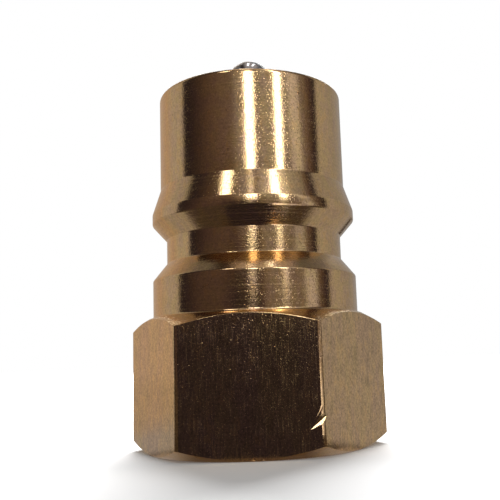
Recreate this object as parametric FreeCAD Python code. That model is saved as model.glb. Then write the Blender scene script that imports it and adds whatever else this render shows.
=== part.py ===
# Plug half of a poppet-valve quick coupling for hydraulic hoses, 3/8 inch size.
#
# The body is turned from brass hexagon bar. It has a female pipe port in the hexagon and
# ends in a nose that pushes into the socket half, whose balls lock behind the ring. Inside,
# a spring holds a steel valve shut against a cone seat in the nose. The valve's domed pin
# stands out of the nose, so that the socket half pushes the valve open.
#
# Millimetres. z = 0 is the flat port face, +z runs along the axis to the nose, and one
# flat of the hexagon faces -y.

import FreeCAD
import Part
import math
import os

from FreeCAD import Vector

AXIS = Vector(0, 0, 1)

# Hexagon and the port inside it
hex_across_flats = 22.0
hex_height = 12.8
hex_corner_radius = 0.3
hex_chamfer_angle = 30.0
hex_top_chamfer_inset = 0.32
hex_port_chamfer_inset = 0.15
port_drill_diameter = 14.3
port_depth = 12.5
port_countersink_depth = 1.65

# Outside of the turned body, from the hexagon up to the nose
collar_inset = 0.4
collar_foot_cone = 0.25
collar_length = 3.75
collar_cone_length = 1.75
neck_diameter = 17.75
neck_length = 2.4
ring_back_length = 1.6
ring_diameter = 20.6
ring_width = 0.95
ramp_length = 2.55
nose_diameter = 18.9
nose_length = 9.8
nose_rim_break = 0.3
turned_edge_break = 0.1

# Chamber, cone seat and mouth inside the body
chamber_diameter = 13.6
seat_width = 1.8
seat_angle = 45.0
mouth_length = 2.0
mouth_edge_break = 0.25

# Valve, from its pin down to its stem
pin_diameter = 4.76
pin_protrusion = 4.45
pin_root_cone = 0.3
flange_clearance = 0.35
flange_length = 1.3
seal_width = 1.8
seal_thickness = 1.85
seal_below_mouth = 0.25
seal_seat_gap = 0.03
seal_groove_depth = 0.65
seal_groove_gap = 0.02
head_length = 3.0
spring_boss_length = 1.2
shoulder_diameter = 6.0
stem_diameter = 3.4
stem_reach = 0.8
valve_edge_break = 0.15
valve_travel = 4.0
stop_gap = 0.1

# Guide that carries the stem and the spring's foot
flow_annulus = 2.9
guide_plate_thickness = 1.6
guide_rim_width = 1.0
guide_clearance = 0.05
guide_hub_above = 2.6
guide_hub_below = 1.3
guide_bore_clearance = 0.05
guide_spoke_width = 2.2
guide_spoke_count = 3
guide_window_radius = 0.4
guide_edge_break = 0.2

# Snap ring under the guide, and its groove
snap_ring_height = 1.7
snap_ring_thickness = 1.0
snap_ring_width = 1.5
snap_ring_taper = 0.22
snap_ring_clearance = 0.05
snap_ring_gap = 2.0
snap_groove_depth = 0.45
snap_groove_slack = 0.1
lug_radius = 1.15
lug_hole_diameter = 1.1
lug_hub_clearance = 0.3

# Spring between the guide and the valve's head
spring_wire_diameter = 0.8
spring_hub_clearance = 0.25
spring_turns = 5.0
spring_closed_turns = 1.0
spring_closed_gap = 0.05
spring_end_flat = 0.5
spring_runs_per_turn = 14

# Outside, worked out from the sizes above
collar_radius = hex_across_flats / 2 - hex_top_chamfer_inset - collar_inset
collar_top = hex_height + collar_length
neck_start = collar_top + collar_cone_length
neck_end = neck_start + neck_length
ring_start = neck_end + ring_back_length
ring_end = ring_start + ring_width
nose_start = ring_end + ramp_length
body_length = nose_start + nose_length

# Seat and mouth
chamber_radius = chamber_diameter / 2
mouth_radius = chamber_radius - seat_width
mouth_bottom = body_length - mouth_length
seat_spread = math.tan(math.radians(seat_angle))
seat_bottom = mouth_bottom - seat_width / seat_spread

# The seal lies against the seat, and the valve is built round the seal
flange_radius = mouth_radius - flange_clearance
seal_groove_radius = flange_radius - seal_groove_depth
seal_inner_radius = seal_groove_radius + seal_groove_gap
seal_outer_radius = seal_inner_radius + seal_width
seal_top = mouth_bottom - seal_below_mouth
seal_bottom = seal_top - seal_thickness
flange_bottom = seal_top + seal_groove_gap
flange_top = flange_bottom + flange_length
head_top = seal_bottom - seal_groove_gap
head_bottom = head_top - head_length
pin_top = body_length + pin_protrusion

# Snap ring, guide and stop, up from the port
snap_groove_radius = chamber_radius + snap_groove_depth
snap_ring_bottom = port_depth + snap_ring_height
guide_plate_bottom = snap_ring_bottom + snap_ring_thickness
guide_plate_top = guide_plate_bottom + guide_plate_thickness
guide_hub_bottom = guide_plate_bottom - guide_hub_below
guide_hub_top = guide_plate_top + guide_hub_above
guide_hub_radius = chamber_radius - flow_annulus
shoulder_bottom = guide_hub_top + valve_travel + stop_gap
stem_bottom = guide_hub_bottom - stem_reach

# Spring, round the guide's hub and the valve's shoulder, whichever is wider
spring_wire_radius = spring_wire_diameter / 2
spring_inner_radius = max(guide_hub_radius, shoulder_diameter / 2) + spring_hub_clearance
spring_radius = spring_inner_radius + spring_wire_radius


def rounded(r, z, radius):
    """Corner of an outline with an arc on it."""
    return r, z, "arc", radius


def broken(r, z, leg):
    """Corner of an outline with a straight edge break on it."""
    return r, z, "flat", leg


def corner_edge(before, corner, after, kind, size):
    """Arc or straight break across a corner, from the side before it to the side after it."""
    back = (before - corner).normalize()
    ahead = (after - corner).normalize()
    if kind == "flat":
        return Part.makeLine(corner + back * size, corner + ahead * size)
    half_angle = back.getAngle(ahead) / 2
    start = corner + back * size / math.tan(half_angle)
    end = corner + ahead * size / math.tan(half_angle)
    middle = corner + (back + ahead).normalize() * (size / math.sin(half_angle) - size)
    return Part.Arc(start, middle, end).toShape()


def outline(corners):
    """Closed wire in the XZ plane through corners (r, z), some of them rounded or broken."""
    points = [Vector(corner[0], 0, corner[1]) for corner in corners]
    edges = []
    reached = None
    for index, point in enumerate(points + points[:1]):
        corner = corners[index % len(corners)]
        arriving = point
        leaving = point
        edge = None
        if len(corner) > 2:
            after = points[(index + 1) % len(points)]
            edge = corner_edge(points[index - 1], point, after, *corner[2:])
            arriving = edge.valueAt(edge.FirstParameter)
            leaving = edge.valueAt(edge.LastParameter)
        if reached and reached.distanceToPoint(arriving) > 1e-6:
            edges.append(Part.makeLine(reached, arriving))
        if edge and index < len(points):
            edges.append(edge)
        reached = leaving
    return Part.Wire(edges)


def turned(corners):
    """Solid of revolution about the z axis, as a lathe would cut it."""
    return Part.Face(outline(corners)).revolve(Vector(0, 0, 0), AXIS, 360)


def turned_about_the_middle(shape, count):
    """The shape and its copies, evenly spaced round the z axis."""
    copies = []
    for index in range(count):
        copy = shape.copy()
        copy.rotate(Vector(0, 0, 0), AXIS, 360 * index / count)
        copies.append(copy)
    return copies


def hexagon_bar():
    """Hexagon bar with its long corners rounded and both ends chamfered by a cone."""
    corner_distance = hex_across_flats / math.sqrt(3)
    corners = []
    for index in range(7):
        angle = math.radians(60 * index)
        corners.append(Vector(corner_distance * math.cos(angle), corner_distance * math.sin(angle), 0))
    bar = Part.Face(Part.makePolygon(corners)).extrude(AXIS * hex_height)
    long_edges = [edge for edge in bar.Edges if abs(edge.tangentAt(edge.FirstParameter).z) > 0.99]
    bar = bar.makeFillet(hex_corner_radius, long_edges)

    port_face_radius = hex_across_flats / 2 - hex_port_chamfer_inset
    top_face_radius = hex_across_flats / 2 - hex_top_chamfer_inset
    outer_radius = corner_distance + 1
    rise = math.tan(math.radians(hex_chamfer_angle))
    chamfered = turned([
        (0, 0),
        (port_face_radius, 0),
        (outer_radius, (outer_radius - port_face_radius) * rise),
        (outer_radius, hex_height - (outer_radius - top_face_radius) * rise),
        (top_face_radius, hex_height),
        (0, hex_height),
    ])
    return bar.common(chamfered)


def turned_outside():
    """Collar, neck, locking ring, ramp and nose, rooted a little way inside the hexagon."""
    foot_radius = collar_radius + collar_foot_cone
    root = hex_height / 2
    neck_radius = neck_diameter / 2
    ring_radius = ring_diameter / 2
    nose_radius = nose_diameter / 2
    return turned([
        (0, root),
        (foot_radius, root),
        (foot_radius, hex_height),
        (collar_radius, hex_height + collar_foot_cone),
        broken(collar_radius, collar_top, turned_edge_break),
        (neck_radius, neck_start),
        (neck_radius, neck_end),
        broken(ring_radius, ring_start, turned_edge_break),
        broken(ring_radius, ring_end, turned_edge_break),
        (nose_radius, nose_start),
        broken(nose_radius, body_length, nose_rim_break),
        (0, body_length),
    ])


def body_bore():
    """Everything drilled and bored out of the body, from the port to the mouth."""
    port_radius = port_drill_diameter / 2
    over = 1
    port_step = abs(port_radius - chamber_radius)
    snap_groove_bottom = snap_ring_bottom
    snap_groove_top = snap_ring_bottom + snap_ring_thickness + snap_groove_slack
    return turned([
        (0, -over),
        (port_radius + port_countersink_depth + over, -over),
        (port_radius, port_countersink_depth),
        (port_radius, port_depth),
        (chamber_radius, port_depth + port_step),
        (chamber_radius, snap_groove_bottom),
        (snap_groove_radius, snap_groove_bottom),
        (snap_groove_radius, snap_groove_top),
        (chamber_radius, snap_groove_top),
        (chamber_radius, seat_bottom),
        (mouth_radius, mouth_bottom),
        (mouth_radius, body_length - mouth_edge_break),
        (mouth_radius + mouth_edge_break + over, body_length + over),
        (0, body_length + over),
    ])


def nipple_body():
    return hexagon_bar().fuse(turned_outside()).removeSplitter().cut(body_bore())


def poppet_valve():
    """Domed pin, flange, seal groove, head, spring boss, stop shoulder and stem, in one piece."""
    pin_radius = pin_diameter / 2
    stem_radius = stem_diameter / 2
    shoulder_radius = shoulder_diameter / 2
    boss_bottom = head_bottom - spring_boss_length
    return turned([
        (0, stem_bottom),
        broken(stem_radius, stem_bottom, valve_edge_break),
        (stem_radius, shoulder_bottom),
        broken(shoulder_radius, shoulder_bottom, valve_edge_break),
        (shoulder_radius, boss_bottom),
        broken(guide_hub_radius, boss_bottom, valve_edge_break),
        (guide_hub_radius, head_bottom),
        broken(seal_outer_radius, head_bottom, valve_edge_break),
        (seal_outer_radius, head_top),
        (seal_groove_radius, head_top),
        (seal_groove_radius, flange_bottom),
        (flange_radius, flange_bottom),
        broken(flange_radius, flange_top, valve_edge_break),
        (pin_radius + pin_root_cone, flange_top),
        (pin_radius, flange_top + pin_root_cone),
        rounded(pin_radius, pin_top, pin_radius),
        (0, pin_top),
    ])


def poppet_seal():
    """Moulded ring in the valve's groove, with a cone face that lies along the body's seat."""
    gap_across = seal_seat_gap / math.cos(math.radians(seat_angle))
    lip_radius = mouth_radius + seal_below_mouth * seat_spread - gap_across
    cone_bottom = seal_top - (seal_outer_radius - lip_radius) / seat_spread
    return turned([
        (seal_inner_radius, seal_bottom),
        (seal_outer_radius, seal_bottom),
        (seal_outer_radius, cone_bottom),
        (lip_radius, seal_top),
        (seal_inner_radius, seal_top),
    ])


def valve_guide():
    """Hub for the stem, in a plate with flow windows between its spokes."""
    bore_radius = stem_diameter / 2 + guide_bore_clearance
    rim_radius = chamber_radius - guide_clearance
    window_outer_radius = rim_radius - guide_rim_width
    hub_and_plate = turned([
        (bore_radius, guide_hub_bottom),
        broken(guide_hub_radius, guide_hub_bottom, guide_edge_break),
        (guide_hub_radius, guide_plate_bottom),
        broken(rim_radius, guide_plate_bottom, guide_edge_break),
        broken(rim_radius, guide_plate_top, guide_edge_break),
        (guide_hub_radius, guide_plate_top),
        broken(guide_hub_radius, guide_hub_top, guide_edge_break),
        (bore_radius, guide_hub_top),
    ])
    base = Vector(0, 0, guide_plate_bottom)
    windows = Part.makeCylinder(window_outer_radius, guide_plate_thickness, base)
    windows = windows.cut(Part.makeCylinder(guide_hub_radius, guide_plate_thickness, base))
    spoke_corner = Vector(0, -guide_spoke_width / 2, guide_plate_bottom)
    spoke = Part.makeBox(chamber_radius, guide_spoke_width, guide_plate_thickness, spoke_corner)
    windows = windows.cut(turned_about_the_middle(spoke, guide_spoke_count))
    upright = [edge for edge in windows.Edges if abs(edge.tangentAt(edge.FirstParameter).z) > 0.99]
    windows = windows.makeFillet(guide_window_radius, upright)
    return hub_and_plate.cut(windows)


def retaining_ring():
    """Internal snap ring: thickest opposite its gap, with a holed lug on each side of the gap."""
    outer_radius = snap_groove_radius - snap_ring_clearance
    inner_radius = outer_radius - snap_ring_width
    base = Vector(0, 0, snap_ring_bottom)
    inner_base = Vector(snap_ring_taper, 0, snap_ring_bottom)
    ring = Part.makeCylinder(outer_radius, snap_ring_thickness, base)
    ring = ring.cut(Part.makeCylinder(inner_radius, snap_ring_thickness, inner_base))

    lug_distance = guide_hub_radius + lug_hub_clearance + lug_radius
    lug_offset = snap_ring_gap / 2 + lug_radius
    lug_forward = math.sqrt(lug_distance ** 2 - lug_offset ** 2)
    slot = Part.makeBox(2 * outer_radius, snap_ring_gap, snap_ring_thickness,
                        Vector(0, -snap_ring_gap / 2, snap_ring_bottom))
    ring = ring.cut(slot)
    for side in (-1, 1):
        centre = Vector(lug_forward, side * lug_offset, snap_ring_bottom)
        lug = Part.makeCylinder(lug_radius, snap_ring_thickness, centre)
        hole = Part.makeCylinder(lug_hole_diameter / 2, snap_ring_thickness, centre)
        ring = ring.fuse(lug).cut(hole)
    return ring.removeSplitter()


def spring_rise(turn):
    """Height of the wire's middle above its lower end, this many turns along the spring."""
    closed_pitch = spring_wire_diameter + spring_closed_gap
    end_height = spring_wire_radius - spring_end_flat
    full_rise = head_bottom - guide_plate_top - 2 * end_height
    open_turns = spring_turns - 2 * spring_closed_turns
    open_pitch = (full_rise - 2 * spring_closed_turns * closed_pitch) / open_turns
    blend = spring_closed_turns / 2

    def rise_from_end(turns):
        extra = open_pitch - closed_pitch
        start = spring_closed_turns - blend
        if turns <= start:
            return closed_pitch * turns
        if turns >= spring_closed_turns + blend:
            return closed_pitch * turns + extra * (turns - spring_closed_turns)
        return closed_pitch * turns + extra * (turns - start) ** 2 / (4 * blend)

    if turn <= spring_turns / 2:
        return rise_from_end(turn)
    return full_rise - rise_from_end(spring_turns - turn)


def valve_spring():
    """Compression spring with closed ends, ground flat on the guide and under the head.

    The wire is swept along short straight runs, so that it stays light to mesh.
    """
    points = []
    count = round(spring_turns * spring_runs_per_turn)
    for index in range(count + 1):
        turn = spring_turns * index / count
        angle = 2 * math.pi * turn
        height = guide_plate_top + spring_wire_radius - spring_end_flat + spring_rise(turn)
        points.append(Vector(spring_radius * math.cos(angle), spring_radius * math.sin(angle), height))
    section = Part.Wire([Part.Circle(points[0], points[1] - points[0], spring_wire_radius).toShape()])
    mitred_corners = 1
    coil = Part.makePolygon(points).makePipeShell([section], True, False, mitred_corners)

    width = 4 * spring_radius
    corner = Vector(-width / 2, -width / 2, 0)
    below = Part.makeBox(width, width, spring_wire_diameter,
                         corner + AXIS * (guide_plate_top - spring_wire_diameter))
    above = Part.makeBox(width, width, spring_wire_diameter, corner + AXIS * head_bottom)
    return coil.cut([below, above])


PIECES = {
    "nipple_body": nipple_body,
    "poppet_valve": poppet_valve,
    "poppet_seal": poppet_seal,
    "valve_spring": valve_spring,
    "valve_guide": valve_guide,
    "retaining_ring": retaining_ring,
}

os.makedirs("parts", exist_ok=True)
for name, make_piece in PIECES.items():
    make_piece().exportStep("parts/" + name + ".step")
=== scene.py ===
# Plug half of a poppet-valve quick coupling for hydraulic hoses, turned from brass hexagon bar.
# It stands on its port face, nose up, with one flat of the hexagon towards the camera (-y).
# Sizes are in millimetres and are turned into Blender's metres where they are used.

import math
import random

import bmesh
import bpy
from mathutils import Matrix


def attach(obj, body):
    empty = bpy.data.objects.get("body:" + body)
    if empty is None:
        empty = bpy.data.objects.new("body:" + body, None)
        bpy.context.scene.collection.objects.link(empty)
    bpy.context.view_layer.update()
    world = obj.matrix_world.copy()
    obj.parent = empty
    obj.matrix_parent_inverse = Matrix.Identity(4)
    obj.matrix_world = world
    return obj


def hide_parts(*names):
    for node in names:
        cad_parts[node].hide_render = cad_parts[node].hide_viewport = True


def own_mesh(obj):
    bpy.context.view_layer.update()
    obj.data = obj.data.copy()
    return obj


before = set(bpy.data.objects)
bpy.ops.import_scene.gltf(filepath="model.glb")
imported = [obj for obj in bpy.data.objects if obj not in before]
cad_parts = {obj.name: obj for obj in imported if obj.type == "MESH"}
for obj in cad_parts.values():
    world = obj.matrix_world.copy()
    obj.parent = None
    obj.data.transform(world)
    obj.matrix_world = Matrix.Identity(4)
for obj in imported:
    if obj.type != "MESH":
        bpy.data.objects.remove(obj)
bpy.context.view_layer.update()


# Body: one piece of free-cutting brass. The bar keeps its drawn flats round the port; the rest
# is turned to a collar, a locking neck and ring, a ramp and the nose, then bored from both ends
# and tapped with a taper pipe thread.

MM = 0.001
FACETS = 192
HEX_ACROSS_FLATS, HEX_TOP = 22.0, 12.8
PORT_FACE_RADIUS, SHOULDER_FACE_RADIUS = 10.85, 10.68
COLLAR_RADIUS, COLLAR_TOP = 10.28, 16.55
NECK_RADIUS, NECK_FOOT, NECK_TOP = 8.875, 18.3, 20.7
RING_RADIUS, RING_FOOT, RING_TOP = 10.3, 22.3, 23.25
NOSE_RADIUS, NOSE_FOOT, NOSE_TOP = 9.45, 25.8, 35.6


def only(piece):
    """Selects this piece alone and makes it the active one."""
    bpy.ops.object.select_all(action="DESELECT")
    bpy.context.view_layer.objects.active = piece
    piece.select_set(True)


def edit(piece=None):
    """Goes into edit mode, on the piece just added or on this one."""
    if piece:
        only(piece)
    bpy.ops.object.mode_set(mode="EDIT")


def done():
    """Leaves edit mode and gives back the piece."""
    bpy.ops.object.mode_set(mode="OBJECT")
    return bpy.context.object


def placed(name):
    """Names the primitive just added, and puts its place, turn and size into its mesh."""
    bpy.context.object.name = name
    bpy.ops.object.transform_apply()
    return bpy.context.object


def pick(kind, test):
    """In edit mode, selects only the edges or the faces that pass the test."""
    bpy.ops.mesh.select_mode(type=kind)
    bpy.ops.mesh.select_all(action="DESELECT")
    mesh = bmesh.from_edit_mesh(bpy.context.object.data)
    mesh.normal_update()
    for part in mesh.edges if kind == "EDGE" else mesh.faces:
        part.select_set(bool(test(part)))
    mesh.select_flush_mode()
    bmesh.update_edit_mesh(bpy.context.object.data)


def is_upright(edge):
    return abs(edge.verts[0].co.z - edge.verts[1].co.z) > 1 * MM


def turned(name, corners, closed=False, facets=FACETS):
    """Shape turned about the z axis: a circle at the first corner (r, z), extruded to the next
    ones in turn. It is a tube where it closes on itself, and otherwise gets two end faces."""
    bpy.ops.object.select_all(action="DESELECT")
    radius, height = corners[0]
    bpy.ops.mesh.primitive_circle_add(vertices=facets, radius=radius * MM, location=(0, 0, height * MM))
    placed(name)
    edit()
    bpy.ops.mesh.select_all(action="SELECT")
    if not closed:
        bpy.ops.mesh.edge_face_add()
        bpy.ops.mesh.select_mode(type="EDGE")
    for next_radius, next_height in corners[1:] + (corners[:1] if closed else []):
        rise = (0, 0, (next_height - height) * MM)
        bpy.ops.mesh.extrude_edges_move(TRANSFORM_OT_translate={"value": rise})
        spread = next_radius / radius
        bpy.ops.transform.resize(value=(spread, spread, 1), center_override=(0, 0, 0))
        radius, height = next_radius, next_height
    if not closed:
        bpy.ops.mesh.edge_face_add()
    bpy.ops.mesh.select_all(action="SELECT")
    bpy.ops.mesh.remove_doubles(threshold=1e-6)
    bpy.ops.mesh.normals_make_consistent(inside=False)
    return done()


def at_corner(vertex, corner):
    radius = math.hypot(vertex.co.x, vertex.co.y) / MM
    return abs(radius - corner[0]) < 0.01 and abs(vertex.co.z / MM - corner[1]) < 0.01


def round_corners(piece, size, segments, *corners):
    """Rounds the circular edges of a turned piece at these corners (r, z)."""
    edit(piece)
    pick("EDGE", lambda edge: any(all(at_corner(vertex, corner) for vertex in edge.verts)
                                  for corner in corners))
    bpy.ops.mesh.bevel(offset=size * MM, offset_type="OFFSET", segments=segments, affect="EDGES")
    return done()


def finish_with(piece, kind, **settings):
    """Adds a modifier with these settings and applies it."""
    only(piece)
    modifier = piece.modifiers.new(kind.title(), kind)
    for setting, value in settings.items():
        setattr(modifier, setting, value)
    bpy.ops.object.modifier_apply(modifier=modifier.name)
    return piece


def machine(piece, tool, operation="DIFFERENCE", **settings):
    """Cuts the piece with a tool, or joins the tool to it, and throws the tool away."""
    finish_with(piece, "BOOLEAN", object=tool, operation=operation, solver="EXACT", **settings)
    bpy.data.objects.remove(tool)
    return piece


def smooth(piece, sharp_angle):
    """Smooth shading up to an angle, with the big faces kept flat."""
    only(piece)
    bpy.ops.object.shade_smooth_by_angle(angle=math.radians(sharp_angle))
    finish_with(piece, "WEIGHTED_NORMAL", keep_sharp=True)
    return piece


# Bar: six flats, longer than the part, with the drawn corners slightly round
bpy.ops.object.select_all(action="DESELECT")
bpy.ops.mesh.primitive_cylinder_add(
    vertices=6, radius=HEX_ACROSS_FLATS / math.sqrt(3) * MM, depth=(NOSE_TOP + 8) * MM,
    location=(0, 0, NOSE_TOP / 2 * MM), rotation=(0, 0, math.radians(30)))
nipple = placed("nipple")
edit()
pick("EDGE", is_upright)
bpy.ops.mesh.bevel(offset=0.28 * MM, offset_type="OFFSET", segments=5, affect="EDGES")
done()

# Turned outside, from the port face up. The two chamfers run out past the bar's corners
past_bar = 14.0
chamfer_rise = math.tan(math.radians(30))
outside = turned("outside", [
    (PORT_FACE_RADIUS, 0), (past_bar, (past_bar - PORT_FACE_RADIUS) * chamfer_rise),
    (past_bar, HEX_TOP - (past_bar - SHOULDER_FACE_RADIUS) * chamfer_rise),
    (SHOULDER_FACE_RADIUS, HEX_TOP), (COLLAR_RADIUS, HEX_TOP), (COLLAR_RADIUS, COLLAR_TOP),
    (NECK_RADIUS, NECK_FOOT), (NECK_RADIUS, NECK_TOP), (RING_RADIUS, RING_FOOT),
    (RING_RADIUS, RING_TOP), (NOSE_RADIUS, NOSE_FOOT), (NOSE_RADIUS, NOSE_TOP), (3, NOSE_TOP),
])
round_corners(outside, 0.25, 4, (COLLAR_RADIUS, HEX_TOP))
round_corners(outside, 0.09, 2, (COLLAR_RADIUS, COLLAR_TOP), (RING_RADIUS, RING_FOOT),
              (RING_RADIUS, RING_TOP))
round_corners(outside, 0.06, 2, (NECK_RADIUS, NECK_FOOT), (NECK_RADIUS, NECK_TOP),
              (NOSE_RADIUS, NOSE_FOOT), (PORT_FACE_RADIUS, 0), (SHOULDER_FACE_RADIUS, HEX_TOP))
round_corners(outside, 0.39, 5, (NOSE_RADIUS, NOSE_TOP))
machine(nipple, outside, "INTERSECT")


def is_chamfer_edge(edge):
    if len(edge.link_faces) != 2 or min(vertex.co.z for vertex in edge.verts) < 0.1 * MM:
        return False
    flatter, steeper = sorted(abs(face.normal.z) for face in edge.link_faces)
    return flatter < 0.01 and 0.8 < steeper < 0.9


# Edges where the chamfers cut the flats, broken by hand
edit(nipple)
pick("EDGE", is_chamfer_edge)
bpy.ops.mesh.bevel(offset=0.04 * MM, offset_type="OFFSET", segments=2, affect="EDGES")
done()

# Knocks of handling: each is a tool with a slightly uneven surface, pressed into the brass
# before it is bored
chance = random.Random(4)
dents = []


def knock(tool, rough, spot, size, turn=(0, 0, 0)):
    """Puts one tool at its spot, scaled to its half sizes and turned, and keeps it in dents."""
    bpy.ops.object.select_all(action="DESELECT")
    tool(location=[part * MM for part in spot], rotation=[math.radians(angle) for angle in turn])
    bpy.context.object.scale = size
    dents.append(placed("dent"))
    edit()
    bpy.ops.mesh.select_all(action="SELECT")
    bpy.ops.mesh.subdivide(number_cuts=1)
    bpy.ops.transform.vertex_random(offset=rough * MM, seed=len(dents))
    done()


def ball(**where):
    bpy.ops.mesh.primitive_ico_sphere_add(subdivisions=3, radius=MM, **where)


def point(**where):
    bpy.ops.mesh.primitive_cone_add(vertices=4, radius1=MM, depth=2 * MM, **where)


# A nick at one long edge of the front flat, made of two grooves and a chip
knock(point, 0.003, (6.084, -11.0, 3.234), (0.62, 0.365, 1.2), (0, -128.9, 0))
knock(point, 0.003, (6.02, -11.0, 4.01), (0.288, 0.13, 1.5), (0, -147, 0))
knock(point, 0.003, (6.40, -11.0, 3.80), (0.416, 0.125, 0.65))

# A pit under the ring and one on the nose, and a scratch on the collar
knock(ball, 0.01, (2.42, -9.28, 21.60), (0.13, 0.13, 0.11))
knock(ball, 0.01, (5.20, -7.90, 33.43), (0.10, 0.10, 0.12))
knock(ball, 0.01, (-3.80, -9.57, 15.13), (0.60, 0.06, 0.05), (0, -21, -21))

# Dings along the front flat's foot, then up its right-hand edge
for step in range(9):
    knock(ball, 0.012, (-5.4 + 1.35 * step + chance.uniform(-0.4, 0.4), -11.05, chance.uniform(0.05, 0.2)),
          (chance.uniform(0.1, 0.25), 0.16, chance.uniform(0.1, 0.16)))
for step in range(7):
    knock(ball, 0.012, (6.48, -11.18, 5.8 + 1.0 * step + chance.uniform(-0.3, 0.3)),
          (0.24, 0.24, chance.uniform(0.1, 0.4)), (0, 0, 30))
for dent in dents:
    dent.select_set(True)
bpy.ops.object.join()
machine(nipple, bpy.context.object, use_self=True)

# Bore: port with its countersink, chamber with the snap ring's groove, cone seat and mouth
DRILL_RADIUS, CHAMBER_RADIUS, MOUTH_RADIUS = 7.15, 6.8, 5.0
GROOVE_RADIUS, GROOVE_FOOT, GROOVE_TOP = 7.25, 14.2, 15.3
machine(nipple, turned("bore", [
    (9.8, -1), (DRILL_RADIUS, 1.65), (DRILL_RADIUS, 12.5), (CHAMBER_RADIUS, 12.85),
    (CHAMBER_RADIUS, GROOVE_FOOT), (GROOVE_RADIUS, GROOVE_FOOT), (GROOVE_RADIUS, GROOVE_TOP),
    (CHAMBER_RADIUS, GROOVE_TOP), (CHAMBER_RADIUS, 31.8), (MOUTH_RADIUS, 33.6),
    (MOUTH_RADIUS, 35.35), (6.25, 36.6),
]))

# Taper pipe thread, 18 turns to the inch: the tap's core, then its ridge, wound from a triangle
# of 60 degrees
PITCH, THREAD_DEPTH, TAPER = 25.4 / 18, 10.1, 1 / 32
CORE_RADIUS, RIDGE_RADIUS, RIDGE_SIZE, RIDGE_TIP = 7.40, 7.745, 0.785, 7.96
bpy.ops.object.select_all(action="DESELECT")
bpy.ops.mesh.primitive_cone_add(
    vertices=FACETS, radius1=(CORE_RADIUS + TAPER) * MM, radius2=(CORE_RADIUS - TAPER * THREAD_DEPTH) * MM,
    depth=(THREAD_DEPTH + 1) * MM, location=(0, 0, (THREAD_DEPTH - 1) / 2 * MM))
machine(nipple, placed("tap_core"))

bpy.ops.object.select_all(action="DESELECT")
bpy.ops.mesh.primitive_circle_add(
    vertices=3, radius=RIDGE_SIZE * MM, location=(RIDGE_RADIUS * MM, 0, -0.8 * MM),
    rotation=(math.radians(90), math.radians(90), 0))
tap = placed("tap_ridge")
finish_with(tap, "SCREW", angle=math.tau, screw_offset=PITCH * MM, iterations=8,
            steps=72, render_steps=72, use_normal_calculate=True)
edit(tap)
bpy.ops.mesh.select_all(action="DESELECT")
bpy.ops.mesh.select_mode(type="EDGE")
bpy.ops.mesh.select_non_manifold()
bpy.ops.mesh.fill_holes(sides=3)
bpy.ops.mesh.select_all(action="SELECT")
bpy.ops.mesh.normals_make_consistent(inside=False)
done()
finish_with(tap, "SIMPLE_DEFORM", deform_method="TAPER", deform_axis="Z",
            factor=-tap.dimensions.z / MM * TAPER / RIDGE_TIP)
machine(nipple, tap)

smooth(nipple, 28)
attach(nipple, "body")
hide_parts("nipple_body")


class Shade:
    """A socket of a material's nodes. Sums on it are written as plain Python."""

    def __init__(self, tree, socket=None):
        self.tree = tree
        self.socket = socket

    def node(self, kind, sockets=None, out=0, **settings):
        """Adds a node of this type: its settings, then its sockets' values or links."""
        node = self.tree.nodes.new("ShaderNode" + kind)
        for setting, value in settings.items():
            setattr(node, setting, value)
        for name, value in (sockets or {}).items():
            if isinstance(value, Shade):
                self.tree.links.new(value.socket, node.inputs[name])
            else:
                node.inputs[name].default_value = value
        return Shade(self.tree, node.outputs[out])

    def calc(self, operation, *values):
        """A Math node on these values or links."""
        return self.node("Math", dict(enumerate(values)), operation=operation)

    def mix(self, first, second):
        """A colour from first at 0 to second at 1."""
        return self.node("Mix", {0: self, 6: first, 7: second}, out=2, data_type="RGBA")

    def __add__(self, other):
        return self.calc("ADD", self, other)

    __radd__ = __add__

    def __sub__(self, other):
        return self.calc("SUBTRACT", self, other)

    def __rsub__(self, other):
        return self.calc("SUBTRACT", other, self)

    def __mul__(self, other):
        return self.calc("MULTIPLY", self, other)

    __rmul__ = __mul__

    def ramp(self, low, high):
        """0 below low, 1 above high, smooth between; high may be the lower one."""
        sockets = {"Value": self, "From Min": low, "From Max": high}
        return self.node("MapRange", sockets, interpolation_type="SMOOTHSTEP", clamp=True)


def scaled(maker, vector, times):
    """A colour or a place made this many times as large."""
    return maker.node("VectorMath", {0: vector, "Scale": times}, operation="SCALE")


def new_finish(name):
    """A new material: its node maker, its shader and its Object coordinates in millimetres."""
    finish = bpy.data.materials.new(name)
    finish.use_nodes = True
    maker = Shade(finish.node_tree)
    shader = finish.node_tree.nodes["Principled BSDF"]
    place = scaled(maker, maker.node("TexCoord", out="Object"), 1 / MM)
    return finish, maker, shader, place


def plug(value, shader, name):
    value.tree.links.new(value.socket, shader.inputs[name])


def bump(maker, height, shader):
    """Shades the surface as if it stood this many millimetres high."""
    plug(maker.node("Bump", {"Height": height, "Distance": MM}), shader, "Normal")


def noise(maker, place, stretch, detail=2, roughness=0.5):
    """Noise from about 0.25 to 0.75, with this many features per millimetre along x, y and z."""
    spot = maker.node("Mapping", {"Vector": place, "Scale": stretch})
    return maker.node("TexNoise", {"Vector": spot, "Scale": 1.0, "Detail": detail, "Roughness": roughness})


def dots(maker, place, per_mm, edge, core):
    """Scattered dots, 0 outside their edge and 1 inside their core."""
    return maker.node("TexVoronoi", {"Vector": place, "Scale": per_mm}, feature="F1").ramp(edge, core)


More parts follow.
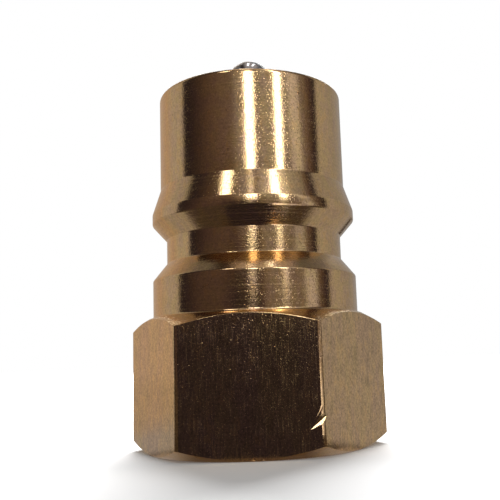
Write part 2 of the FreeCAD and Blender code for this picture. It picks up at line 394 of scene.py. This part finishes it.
def brass(name, lines, line_height, line_shade, line_haze, grain_height, speckle, mottle, cloud):
    """Bare brass, tumbled to a fine grain with a few deeper pits and rubbed strokes. The lines are
    the tool's or the die's marks, in features per millimetre; heights are in millimetres. The
    cloud is the stretch of the broad patches where the colour drifts."""
    finish, maker, shader, place = new_finish(name)
    shader.inputs["Metallic"].default_value = 1.0
    stain = noise(maker, place, (0.5, 0.5, 0.4), 4, 0.6)
    grain = noise(maker, place, (6, 6, 6), 1, 0.5)
    dust = noise(maker, place, (5, 5, 5), 3, 0.7)
    marks = noise(maker, place, lines, 2, 0.6)
    patch = noise(maker, place, (1.6, 1.6, 0.9), 3, 0.6)
    tarnish = noise(maker, place, cloud, 3, 0.6)
    speck = dots(maker, place, 5.0, 0.32, 0.05)
    pit = dots(maker, place, 1.5, 0.1, 0.02)
    slanting = maker.node("Mapping", {"Vector": place, "Rotation": (0, math.radians(45), math.radians(60)),
                                      "Scale": (3.4, 0.5, 0.5)}, vector_type="TEXTURE")
    stroke = dots(maker, slanting, 1.0, 0.24, 0.06) * patch.ramp(0.45, 0.6)

    shade = 0.82 + 0.14 * stain + line_shade * (marks - 0.5) + speckle * (dust - 0.5)
    shade = shade + mottle * (patch - 0.5) + 0.2 * (tarnish - 0.5) - 0.25 * stroke - 0.1 * speck
    colour = tarnish.ramp(0.35, 0.65).mix((0.80, 0.535, 0.315, 1), (0.79, 0.55, 0.265, 1))
    colour = patch.ramp(0.5, 0.7).mix(colour, (0.80, 0.52, 0.245, 1))
    plug(scaled(maker, colour, shade), shader, "Base Color")
    plug(0.09 + 0.05 * stain + line_haze * marks.ramp(0.5, 0.7), shader, "Roughness")
    height = grain_height * (grain + 0.5 * dust) + line_height * marks
    bump(maker, height - 0.004 * speck * (0.5 + stain) - 0.007 * pit - 0.002 * stroke, shader)
    return finish


turned_brass = brass("turned_brass", lines=(0.03, 0.03, 8), line_height=0.003, line_shade=0.2,
                     line_haze=0.08, grain_height=0.005, speckle=0.75, mottle=0.3, cloud=(0.9, 0.9, 0.6))
drawn_brass = brass("drawn_brass", lines=(9, 9, 0.5), line_height=0.002, line_shade=0.5,
                    line_haze=0.12, grain_height=0.003, speckle=1.5, mottle=0.75, cloud=(0.5, 0.5, 0.15))


def is_on_flat(face):
    middle = face.calc_center_median()
    return abs(face.normal.z) < 0.01 and math.hypot(middle.x, middle.y) > 10.95 * MM


nipple.data.materials.clear()
nipple.data.materials.append(turned_brass)
nipple.data.materials.append(drawn_brass)
edit(nipple)
pick("FACE", is_on_flat)
bpy.context.object.active_material_index = 1
bpy.ops.object.material_slot_assign()
done()


# Valve: one turned piece of hard steel. Its polished domed pin stands out of the nose, its
# flange and head hold the seal between them, and its stem runs in the guide.

STEM_RADIUS, STEM_FOOT = 1.7, 13.1
STOP_RADIUS, STOP_FOOT = 3.0, 23.5
BOSS_RADIUS, BOSS_FOOT = 3.9, 27.28
HEAD_RADIUS, HEAD_FOOT, HEAD_TOP = 5.82, 28.48, 31.48
SEAL_CORE_RADIUS = 4.0
FLANGE_RADIUS, FLANGE_FOOT, FLANGE_TOP = 4.65, 33.37, 34.67
PIN_RADIUS, PIN_ROOT, DOME_FOOT, DOME_RINGS = 2.38, 0.3, 37.67, 16
valve = turned("valve", [
    (STEM_RADIUS, STEM_FOOT), (STEM_RADIUS, STOP_FOOT), (STOP_RADIUS, STOP_FOOT),
    (STOP_RADIUS, BOSS_FOOT), (BOSS_RADIUS, BOSS_FOOT), (BOSS_RADIUS, HEAD_FOOT),
    (HEAD_RADIUS, HEAD_FOOT), (HEAD_RADIUS, HEAD_TOP), (SEAL_CORE_RADIUS, HEAD_TOP),
    (SEAL_CORE_RADIUS, FLANGE_FOOT), (FLANGE_RADIUS, FLANGE_FOOT), (FLANGE_RADIUS, FLANGE_TOP),
    (PIN_RADIUS + PIN_ROOT, FLANGE_TOP), (PIN_RADIUS, FLANGE_TOP + PIN_ROOT), (PIN_RADIUS, DOME_FOOT),
])
edit(valve)
pick("FACE", lambda face: face.normal.z > 0.9 and face.calc_center_median().z > (DOME_FOOT - 0.07) * MM)
before = 0
for step in range(1, DOME_RINGS + 1):
    after = math.radians(90 * step / DOME_RINGS)
    rise = PIN_RADIUS * MM * (math.sin(after) - math.sin(before))
    bpy.ops.mesh.extrude_region_move(TRANSFORM_OT_translate={"value": (0, 0, rise)})
    if step < DOME_RINGS:
        spread = math.cos(after) / math.cos(before)
        bpy.ops.transform.resize(value=(spread, spread, 1), center_override=(0, 0, 0))
    before = after
bpy.ops.mesh.merge(type="CENTER")
done()
round_corners(valve, 0.15, 3, (STEM_RADIUS, STEM_FOOT), (STOP_RADIUS, STOP_FOOT), (BOSS_RADIUS, BOSS_FOOT),
              (HEAD_RADIUS, HEAD_FOOT), (FLANGE_RADIUS, FLANGE_TOP))
smooth(valve, 35)
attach(valve, "valve")
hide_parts("poppet_valve")

finish, maker, shader, place = new_finish("polished_steel")
shader.inputs["Metallic"].default_value = 1.0
grain = noise(maker, place, (5, 5, 5), 3, 0.6)
marks = noise(maker, place, (0.03, 0.03, 6), 3, 0.6)
plug(grain.mix((0.50, 0.50, 0.51, 1), (0.66, 0.65, 0.65, 1)), shader, "Base Color")
plug(0.08 + 0.08 * grain, shader, "Roughness")
bump(maker, 0.00015 * grain + 0.0002 * marks, shader)
valve.data.materials.append(finish)


# Seal: a moulded nitrile ring in the valve's groove, with a cone face that lies on the seat.

SEAL_INSIDE, SEAL_RADIUS, SEAL_LIP = 4.02, 5.82, 5.17
SEAL_FOOT, CONE_FOOT, SEAL_TOP = 31.5, 32.7, 33.35
seal = turned("seal", [
    (SEAL_INSIDE, SEAL_FOOT), (SEAL_RADIUS, SEAL_FOOT), (SEAL_RADIUS, CONE_FOOT), (SEAL_LIP, SEAL_TOP),
    (SEAL_INSIDE, SEAL_TOP),
], closed=True)
round_corners(seal, 0.12, 3, (SEAL_RADIUS, SEAL_FOOT), (SEAL_RADIUS, CONE_FOOT))
smooth(seal, 35)
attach(seal, "valve")
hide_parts("poppet_seal")


def mottled(name, metallic, per_mm, detail, dark, pale, smoothest, dulling, height):
    """A plain finish that drifts between two colours, and grows duller and higher with the pale
    one. The height is in millimetres."""
    finish, maker, shader, place = new_finish(name)
    shader.inputs["Metallic"].default_value = metallic
    drift = noise(maker, place, (per_mm, per_mm, per_mm), detail, 0.6)
    plug(drift.mix((*dark, 1), (*pale, 1)), shader, "Base Color")
    plug(smoothest + dulling * drift, shader, "Roughness")
    bump(maker, height * drift, shader)
    return finish


seal.data.materials.append(mottled(
    "black_rubber", 0.0, per_mm=3, detail=4, dark=(0.012, 0.012, 0.013), pale=(0.03, 0.029, 0.028),
    smoothest=0.45, dulling=0.2, height=0.002))


# Guide: a turned brass spider. Its hub carries the valve's stem and the spring's foot, and the
# oil flows through the windows between its three spokes.

GUIDE_BORE, HUB_RADIUS, RIM_RADIUS, WINDOW_RADIUS = 1.75, 3.9, 6.75, 5.75
HUB_FOOT, PLATE_FOOT, PLATE_TOP, HUB_TOP = 13.9, 15.2, 16.8, 19.4
SPOKES, SPOKE_WIDTH = 3, 2.2
guide = turned("guide", [
    (GUIDE_BORE, HUB_FOOT), (HUB_RADIUS, HUB_FOOT), (HUB_RADIUS, PLATE_FOOT), (RIM_RADIUS, PLATE_FOOT),
    (RIM_RADIUS, PLATE_TOP), (HUB_RADIUS, PLATE_TOP), (HUB_RADIUS, HUB_TOP), (GUIDE_BORE, HUB_TOP),
], closed=True)
round_corners(guide, 0.2, 3, (HUB_RADIUS, HUB_FOOT), (RIM_RADIUS, PLATE_FOOT), (RIM_RADIUS, PLATE_TOP),
              (HUB_RADIUS, HUB_TOP))
round_corners(guide, 0.1, 2, (GUIDE_BORE, HUB_FOOT), (GUIDE_BORE, HUB_TOP))
window_foot, window_top = PLATE_FOOT - 0.3, PLATE_TOP + 0.3
windows = turned("windows", [
    (HUB_RADIUS, window_foot), (WINDOW_RADIUS, window_foot), (WINDOW_RADIUS, window_top),
    (HUB_RADIUS, window_top),
], closed=True)
for spoke in range(SPOKES):
    angle = math.tau / SPOKES * spoke
    bpy.ops.mesh.primitive_cube_add(
        size=1, location=(5 * math.cos(angle) * MM, 5 * math.sin(angle) * MM, 16 * MM),
        rotation=(0, 0, angle))
    bpy.context.object.scale = (6 * MM, SPOKE_WIDTH * MM, 4 * MM)
    machine(windows, placed("spoke"))
edit(windows)
pick("EDGE", lambda edge: is_upright(edge) and edge.calc_face_angle(0) > math.radians(40))
bpy.ops.mesh.bevel(offset=0.4 * MM, segments=4, affect="EDGES")
done()
machine(guide, windows)
smooth(guide, 35)
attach(guide, "body")
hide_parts("valve_guide")
guide.data.materials.append(turned_brass)


# Snap ring: stamped spring steel with a black oxide finish, sprung into the groove under the
# guide. It is thickest opposite its gap, and pliers take hold of the two lugs.

RING_FACETS, LUG_FACETS = 96, 48
SNAP_RADIUS, SNAP_INSIDE, SNAP_OFFSET = 7.2, 5.7, 0.22
SNAP_FOOT, SNAP_TOP, SNAP_GAP = 14.2, 15.2, 2.0
SNAP_MIDDLE = (SNAP_FOOT + SNAP_TOP) / 2
LUG_RADIUS, LUG_HOLE_RADIUS, LUG_X, LUG_Y = 1.15, 0.55, 4.90, 2.15
ring = turned("snap_ring", [
    (SNAP_RADIUS, SNAP_FOOT), (SNAP_RADIUS, SNAP_TOP), (3, SNAP_TOP), (3, SNAP_FOOT),
], closed=True, facets=RING_FACETS)
bpy.ops.object.select_all(action="DESELECT")
bpy.ops.mesh.primitive_cylinder_add(vertices=RING_FACETS, radius=SNAP_INSIDE * MM, depth=3 * MM,
                                    location=(SNAP_OFFSET * MM, 0, SNAP_MIDDLE * MM))
machine(ring, placed("ring_inside"))
bpy.ops.mesh.primitive_cube_add(size=1, location=(7 * MM, 0, SNAP_MIDDLE * MM))
bpy.context.object.scale = (8 * MM, SNAP_GAP * MM, 3 * MM)
machine(ring, placed("ring_gap"))
for side in (-1, 1):
    for radius, depth, operation in ((LUG_RADIUS, SNAP_TOP - SNAP_FOOT, "UNION"),
                                     (LUG_HOLE_RADIUS, 3.0, "DIFFERENCE")):
        bpy.ops.mesh.primitive_cylinder_add(vertices=LUG_FACETS, radius=radius * MM, depth=depth * MM,
                                            location=(LUG_X * MM, LUG_Y * side * MM, SNAP_MIDDLE * MM))
        machine(ring, placed("lug_tool"), operation)
finish_with(ring, "BEVEL", width=0.06 * MM, segments=2, limit_method="ANGLE", angle_limit=math.radians(50))
smooth(ring, 35)
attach(ring, "body")
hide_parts("retaining_ring")
ring.data.materials.append(mottled(
    "blackened_steel", 1.0, per_mm=4, detail=4, dark=(0.05, 0.048, 0.05), pale=(0.13, 0.125, 0.12),
    smoothest=0.3, dulling=0.25, height=0.002))


# Spring: music wire wound right-handed with closed ground ends. It stands on the guide, round
# its hub, and holds the valve shut.

SPRING_FOOT, SPRING_TOP = PLATE_TOP, HEAD_FOOT
WIRE_RADIUS, COIL_RADIUS, END_FLAT = 0.4, 4.55, 0.1
SPRING_TURNS, STEPS_A_TURN = 5, 40
CLOSED_PITCH, OPEN_PITCH = 0.85, 3.39
rest_length = SPRING_TOP - SPRING_FOOT
whole_rise = rest_length + 2 * END_FLAT


def coil_height(turn):
    """Height along the spring: nearly flat in the closed end turns, steep between them."""
    if turn > SPRING_TURNS / 2:
        return whole_rise - coil_height(SPRING_TURNS - turn)
    if turn < 0.5:
        return CLOSED_PITCH * turn
    if turn > 1.5:
        return CLOSED_PITCH * turn + (OPEN_PITCH - CLOSED_PITCH) * (turn - 1)
    return CLOSED_PITCH * turn + (OPEN_PITCH - CLOSED_PITCH) * (turn - 0.5) ** 2 / 2


bpy.ops.object.select_all(action="DESELECT")
bpy.ops.mesh.primitive_circle_add(
    vertices=20, radius=WIRE_RADIUS * MM, location=(COIL_RADIUS * MM, 0, (SPRING_FOOT - END_FLAT) * MM),
    rotation=(math.radians(90), 0, 0))
spring = placed("spring")
edit()
bpy.ops.mesh.select_all(action="SELECT")
bpy.ops.mesh.edge_face_add()
bpy.ops.mesh.select_mode(type="FACE")
for step in range(SPRING_TURNS * STEPS_A_TURN):
    rise = coil_height((step + 1) / STEPS_A_TURN) - coil_height(step / STEPS_A_TURN)
    bpy.ops.mesh.extrude_region_move(TRANSFORM_OT_translate={"value": (0, 0, rise * MM)})
    bpy.ops.transform.rotate(value=-math.tau / STEPS_A_TURN, orient_axis="Z", center_override=(0, 0, 0))
bpy.ops.mesh.select_all(action="SELECT")
bpy.ops.mesh.normals_make_consistent(inside=False)
done()
for ground_off in (SPRING_FOOT - 1, SPRING_TOP + 1):
    bpy.ops.mesh.primitive_cube_add(size=1, location=(0, 0, ground_off * MM))
    bpy.context.object.scale = (12 * MM, 12 * MM, 2 * MM)
    machine(spring, placed("grinder"))
smooth(spring, 50)
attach(spring, "body")
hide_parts("valve_spring")
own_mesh(spring)
spring.data.materials.append(mottled(
    "spring_wire", 1.0, per_mm=5, detail=3, dark=(0.30, 0.29, 0.28), pale=(0.46, 0.45, 0.43),
    smoothest=0.22, dulling=0.15, height=0.001))


# Floor: a pale sheet in plain soft light. It is white where it is seen at first hand or in the metal,
# and keeps the coupling's shadow. There it also glows with painted light, full from 200 mm out and
# faint within 50 mm of the coupling, so that the lamps' light and shadow show near it.

def first_hand(maker):
    """1 for what the camera sees, at once or through metal and glass."""
    camera, glossy, through = (maker.node("LightPath", out=f"Is {kind} Ray")
                               for kind in ("Camera", "Glossy", "Transmission"))
    return camera + glossy + through


bpy.ops.object.select_all(action="DESELECT")
bpy.ops.mesh.primitive_plane_add(size=4)
floor = placed("floor")
finish, maker, shader, place = new_finish("pale_floor")
shader.inputs["Base Color"].default_value = (0.85, 0.85, 0.85, 1)
shader.inputs["Roughness"].default_value = 0.9
shader.inputs["Specular IOR Level"].default_value = 0.0
shader.inputs["Emission Strength"].default_value = 1.0
# Painted light: the floor's own glow, 0.05 within 50 mm of the coupling, growing to white at 200 mm
far = maker.node("VectorMath", {0: place}, out=1, operation="LENGTH").ramp(50, 200)
painted_floor_glow = far.mix((0.05, 0.05, 0.05, 1), (1, 1, 1, 1))
plug(first_hand(maker).mix((0, 0, 0, 1), painted_floor_glow), shader, "Emission Color")
floor.data.materials.append(finish)


# Tent: a round wall, a ceiling and a ground that only the metal sees, pale behind the coupling
# and dark on the camera's side, as the metal shows the room in the photograph. It is no lamp and
# lights nothing: all its glow is painted reflection, with painted patches of light and painted shade
# in it. Angles are in degrees: azimuth is 0 on the camera's side and grows towards +x.

TENT_RADIUS, TENT_HEIGHT, TENT_FOOT, AIM_HEIGHT = 300, 500, 0.04, 20
FRONT_FLAT, CORNER_X = -HEX_ACROSS_FLATS / 2, HEX_ACROSS_FLATS / 2 / math.sqrt(3)
bpy.ops.object.select_all(action="DESELECT")
bpy.ops.mesh.primitive_cylinder_add(vertices=128, radius=TENT_RADIUS * MM, depth=TENT_HEIGHT * MM,
                                    location=(0, 0, (TENT_HEIGHT / 2 + TENT_FOOT) * MM))
tent = placed("tent")
tent.visible_camera = tent.visible_diffuse = tent.visible_shadow = tent.visible_transmission = False
# Painted reflections: the tent's glow, which only the metal shows
finish, maker, shader, place = new_finish("painted_reflection_glow")
finish.cycles.emission_sampling = "NONE"
shader.inputs["Base Color"].default_value = (0, 0, 0, 1)
shader.inputs["Specular IOR Level"].default_value = 0.0
shader.inputs["Emission Strength"].default_value = 1.0
x, y, z = (maker.node("SeparateXYZ", {0: place}, out=axis) for axis in range(3))


def length(across, along):
    return maker.calc("SQRT", across * across + along * along)


def degrees(opposite, adjacent):
    return maker.calc("ARCTAN2", opposite, adjacent) * (180 / math.pi)


distance = length(x, y)
azimuth = degrees(x, -1 * y)
elevation = degrees(z - AIM_HEIGHT, distance)

# The painted room in front: nearly black, with a warm painted glow to the left and right
glow = 0.16 * azimuth.ramp(-78, 0) * (1 - azimuth.ramp(20, 80)) * elevation.ramp(2, 22)
glow = glow + 0.05 * azimuth.ramp(-80, -50) * azimuth.ramp(-12, -35) * (1 - 0.7 * elevation.ramp(6, 16))
glow = glow + (0.17 + 0.14 * elevation.ramp(32, 48)) * azimuth.ramp(8, 20) * azimuth.ramp(90, 70)
glow = glow + 0.10 * azimuth.ramp(-20, -10) * azimuth.ramp(2, -2) * elevation.ramp(7, 10)

# A slanting window of painted light at the right, dimmer in what the neck shows: a painted shade on the
# neck
slant = azimuth + 0.5 * elevation
neck_painted_shade = elevation.ramp(6, 9) * elevation.ramp(16, 13)
slanting = slant.ramp(60, 65) * slant.ramp(79, 74) * elevation.ramp(-2, 4)
glow = glow + 0.40 * slanting * (1 - 0.6 * neck_painted_shade)

# Painted light spilt round the middle and right-hand lamps
painted_lamp_spill = azimuth.ramp(-2, 0) * azimuth.ramp(6, 4) * (elevation.ramp(36, 40) + 1.4 * elevation.ramp(3, 7))
painted_lamp_spill = painted_lamp_spill + 1.8 * azimuth.ramp(33, 35) * azimuth.ramp(41, 39) * elevation.ramp(3, 7)
glow = glow + 0.5 * painted_lamp_spill
warmth = glow.ramp(0.3, 0)
front = maker.node("CombineXYZ", {0: 0.03 + glow, 1: 0.023 + glow * (1 - 0.35 * warmth),
                                  2: 0.03 + glow * (1 - 0.58 * warmth)})

# The wall behind: pale, and warmer at the left
behind = 1 - azimuth.ramp(-88, -84) + azimuth.ramp(91, 94)
pale = 0.47 - 0.04 * azimuth.ramp(0, 90) - 0.08 * azimuth.ramp(95, 130)
pale = pale * (1 - 0.65 * elevation.ramp(25, 60))
warm = azimuth.ramp(-105, -125)
wall = behind.mix(front, maker.node("CombineXYZ", {
    0: pale * (1 + 0.12 * warm), 1: pale * (0.97 - 0.08 * warm), 2: pale * (0.95 - 0.26 * warm)}))

# The painted ceiling, paler over the coupling, with two painted strips of light
over_coupling = x.ramp(-150, -60) * x.ramp(300, 220)
ceiling = over_coupling.mix((0.04, 0.03, 0.025, 1), (0.44, 0.38, 0.34, 1))
wall = elevation.ramp(62, 70).mix(wall, ceiling)
strips = x.ramp(-45, -35) * x.ramp(5, -5) + x.ramp(65, 75) * x.ramp(110, 100)
strips = strips * y.ramp(-60, -40) * y.ramp(190, 150) * z.ramp(TENT_HEIGHT - 1, TENT_HEIGHT - 0.5)

# The painted table under it: pale behind, banded far back, and in painted shade before the front flat
painted_table = warm.mix((0.38, 0.365, 0.36, 1), (0.46, 0.37, 0.28, 1))
off_front = maker.calc("ABSOLUTE", azimuth)
band = off_front.ramp(160, 167).mix((0.06, 0.045, 0.035, 1), (0.85, 0.82, 0.8, 1))
painted_table = off_front.ramp(148, 152).mix(painted_table, band)
painted_table = y.ramp(-7, -2).mix((0.07, 0.055, 0.045, 1), painted_table)
# Painted shade: nearly black ground in a wedge before the front flat, and a painted contact shade at the
# hexagon's foot, darkest in the middle
beside = maker.calc("ABSOLUTE", x)
reach = beside - 0.25 * maker.calc("MAXIMUM", FRONT_FLAT - y, 0)
open_ground = maker.calc("MAXIMUM", reach.ramp(7.5, 9), y.ramp(-2, 1))
ground = open_ground.mix((0.03, 0.023, 0.03, 1), painted_table)
painted_contact_shade = distance.ramp(13.6, 13) * y.ramp(-4, -6)
ground = painted_contact_shade.mix(ground, beside.ramp(4.5, 8).mix((0.11, 0.08, 0.06, 1), (0.34, 0.3, 0.27, 1)))

# A painted window of light on the ground, seen only in the metal, that puts a painted highlight on the
# hexagon's right-hand front corner
from_corner = (x - CORNER_X, FRONT_FLAT - y)
corner_azimuth = degrees(*from_corner)
corner_glint_patch = length(*from_corner).ramp(7, 9) * corner_azimuth.ramp(22, 28) * corner_azimuth.ramp(80, 70)
corner_glint_patch = corner_glint_patch * (0.4 + 0.35 * corner_azimuth.ramp(65, 50) + 0.9 * corner_azimuth.ramp(44, 38))
corner_glint_colour = scaled(maker, (1, 0.96, 1.02), corner_glint_patch)
ground = maker.calc("MINIMUM", corner_glint_patch * 2, 1).mix(ground, corner_glint_colour)
plug(z.ramp(1, 0).mix(strips.mix(wall, (3, 3, 3, 1)), ground), shader, "Emission Color")
tent.data.materials.append(finish)


# Lamps: four soft boxes that aim at the coupling's middle, three in front for the streaks in
# the metal and a broad one behind it for its shadow, in a plain grey world.

def lamp(name, azimuth, elevation, width, height, radiance=5, distance=270, lean=0):
    """Soft box, placed by angles in degrees. A bigger one is as bright to look at."""
    light = bpy.data.lights.new(name, "AREA")
    light.shape = "RECTANGLE"
    light.size = width * MM
    light.size_y = height * MM
    light.energy = radiance * math.pi * light.size * light.size_y
    holder = bpy.data.objects.new(name, light)
    bpy.context.scene.collection.objects.link(holder)
    turn, rise = math.radians(azimuth), math.radians(elevation)
    out = distance * math.cos(rise)
    holder.location = (out * math.sin(turn) * MM, -out * math.cos(turn) * MM,
                       (distance * math.sin(rise) + AIM_HEIGHT) * MM)
    holder.rotation_euler = (math.radians(90) - rise, 0, turn)
    holder.rotation_euler.rotate_axis("Z", math.radians(lean))
    holder.visible_camera = False


lamp("lamp_middle", azimuth=3.2, elevation=23, width=44, height=105)
lamp("lamp_right", azimuth=36.9, elevation=32, width=35, height=190, lean=5)
lamp("lamp_left", azimuth=-32, elevation=50, width=36, height=66)
lamp("lamp_key", azimuth=180, elevation=42, width=600, height=230, radiance=35, distance=700)

world = bpy.data.worlds.new("studio")
bpy.context.scene.world = world
world.use_nodes = True
sky = first_hand(Shade(world.node_tree)).mix((0.2, 0.2, 0.2, 1), (1, 1, 1, 1))
plug(sky, world.node_tree.nodes["Background"], "Color")


# Camera: close in front and a little below the middle, looking up.

camera = bpy.data.objects.new("camera", bpy.data.cameras.new("camera"))
bpy.context.scene.collection.objects.link(camera)
camera.location = (5.578 * MM, -73.162 * MM, 8.379 * MM)
camera.rotation_euler = tuple(math.radians(angle) for angle in (98.615, 2.081, 1.857))
camera.data.lens = 51.70
camera.data.sensor_width = 36
camera.data.shift_x = -0.0786
camera.data.shift_y = 0.0023
camera.data.clip_start = 0.005
bpy.context.scene.camera = camera
bpy.context.scene.view_settings.view_transform = "Standard"
